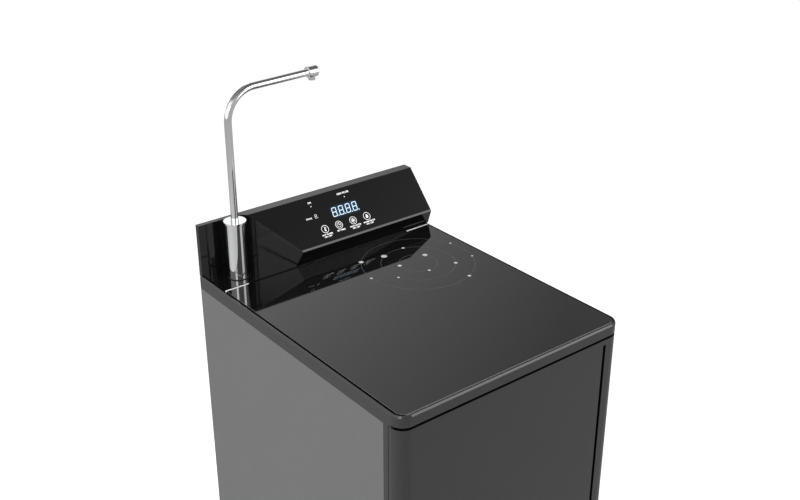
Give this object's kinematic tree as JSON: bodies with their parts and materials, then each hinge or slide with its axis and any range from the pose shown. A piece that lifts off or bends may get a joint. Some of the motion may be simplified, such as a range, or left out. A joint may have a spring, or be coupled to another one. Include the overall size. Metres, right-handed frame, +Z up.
{
  "type": "hot and cold water purifier",
  "caption": "Floor-standing hot and cold water purifier: grey cabinet with a hinged filter door, black glass worktop, sloping touch console and a bent swivel spout.",
  "frame": {"origin": "on the floor under the middle of the cabinet's plan", "axes": "+Z up, front door towards -Y, +X to the right seen from the front"},
  "size_m": [0.34, 0.42, 1.1553],
  "materials": {
    "side_paint": "satin powder coat",
    "charcoal_plastic": "fine texture",
    "liner_plastic": "smooth",
    "gloss_black": "polished",
    "black_glass": "polished, black printed back",
    "smoked_lens": "polished",
    "chrome": "mirror",
    "sheet_steel": "zinc coated",
    "white_plastic": "moulded",
    "black_rubber": "matt",
    "dark_plastic": "moulded",
    "black_enamel": "enamel",
    "brass": "machined",
    "circuit_board": "solder mask",
    "magnet": "sintered",
    "blue_plastic": "moulded",
    "red_plastic": "moulded",
    "green_plastic": "moulded"
  },
  "bodies": {
    "cabinet": {"base_tray": "charcoal_plastic", "feet": "black_rubber", "stile_left": "charcoal_plastic", "stile_right": "charcoal_plastic", "frame_rails": "charcoal_plastic", "rear_posts": "sheet_steel", "side_panel_left": "side_paint", "side_panel_right": "side_paint", "back_panel": "sheet_steel", "partition": "sheet_steel", "tank_shelf": "sheet_steel", "top_cover": "charcoal_plastic", "glass_top": "black_glass", "deck_plate": "gloss_black", "console_shell": "gloss_black", "control_lens": "smoked_lens", "control_board": "circuit_board", "display_module": "white_plastic", "touch_springs": "sheet_steel", "indicator_lamps": "white_plastic", "faucet_gasket": "black_rubber", "faucet_body": "chrome", "faucet_nut": "brass", "spout_bush": "white_plastic", "hinge_pins": "sheet_steel", "hinge_washer": "white_plastic", "door_magnet": "magnet", "filter_head": "white_plastic", "membrane_housing": "white_plastic", "membrane_clips": "white_plastic", "booster_pump": "dark_plastic", "inlet_valve": "white_plastic", "power_supply": "dark_plastic", "hot_tank": "sheet_steel", "heater_band": "brass", "cold_tank": "white_plastic", "compressor": "black_enamel", "condenser_tube": "black_enamel", "condenser_wires": "black_enamel", "condenser_clips": "dark_plastic", "inlet_fitting": "blue_plastic", "waste_fitting": "white_plastic", "drain_caps": "dark_plastic", "cord_gland": "dark_plastic", "switch_frame": "dark_plastic", "back_screws": "sheet_steel", "water_lines": "white_plastic"},
    "door": {"front_door": "charcoal_plastic", "door_liner": "liner_plastic", "door_strike": "sheet_steel"},
    "spout": {"spout_tube": "chrome", "swivel_collar": "chrome", "spout_end": "chrome", "outlet_nozzle": "chrome"},
    "filter_1": {"filter_cartridge_1": "white_plastic"},
    "filter_2": {"filter_cartridge_2": "white_plastic"},
    "filter_3": {"filter_cartridge_3": "white_plastic"},
    "filter_4": {"filter_cartridge_4": "white_plastic"},
    "heat_switch": {"heat_rocker": "red_plastic"},
    "cool_switch": {"cool_rocker": "green_plastic"}
  },
  "joints": [
    {"name": "door_hinge", "type": "hinge", "parent": "cabinet", "child": "door", "pos_m": [-0.166, -0.194, 0.4675], "axis": [0, 0, -1], "range_deg": [0, 110]},
    {"name": "spout_swivel", "type": "hinge", "parent": "cabinet", "child": "spout", "pos_m": [-0.1315, 0.1766, 0.98], "axis": [0, 0, 1], "continuous": true},
    {"name": "filter_1_turn", "type": "hinge", "parent": "cabinet", "child": "filter_1", "pos_m": [-0.117, -0.112, 0.8], "axis": [0, 0, 1], "range_deg": [0, 90]},
    {"name": "filter_2_turn", "type": "hinge", "parent": "cabinet", "child": "filter_2", "pos_m": [-0.039, -0.112, 0.8], "axis": [0, 0, 1], "range_deg": [0, 90]},
    {"name": "filter_3_turn", "type": "hinge", "parent": "cabinet", "child": "filter_3", "pos_m": [0.039, -0.112, 0.8], "axis": [0, 0, 1], "range_deg": [0, 90]},
    {"name": "filter_4_turn", "type": "hinge", "parent": "cabinet", "child": "filter_4", "pos_m": [0.117, -0.112, 0.8], "axis": [0, 0, 1], "range_deg": [0, 90]},
    {"name": "heat_rocker_tilt", "type": "hinge", "parent": "cabinet", "child": "heat_switch", "pos_m": [0.058, 0.184, 0.156], "axis": [1, 0, 0], "range_deg": [0, 16]},
    {"name": "cool_rocker_tilt", "type": "hinge", "parent": "cabinet", "child": "cool_switch", "pos_m": [0.078, 0.184, 0.156], "axis": [1, 0, 0], "range_deg": [0, 16]}
  ]
}
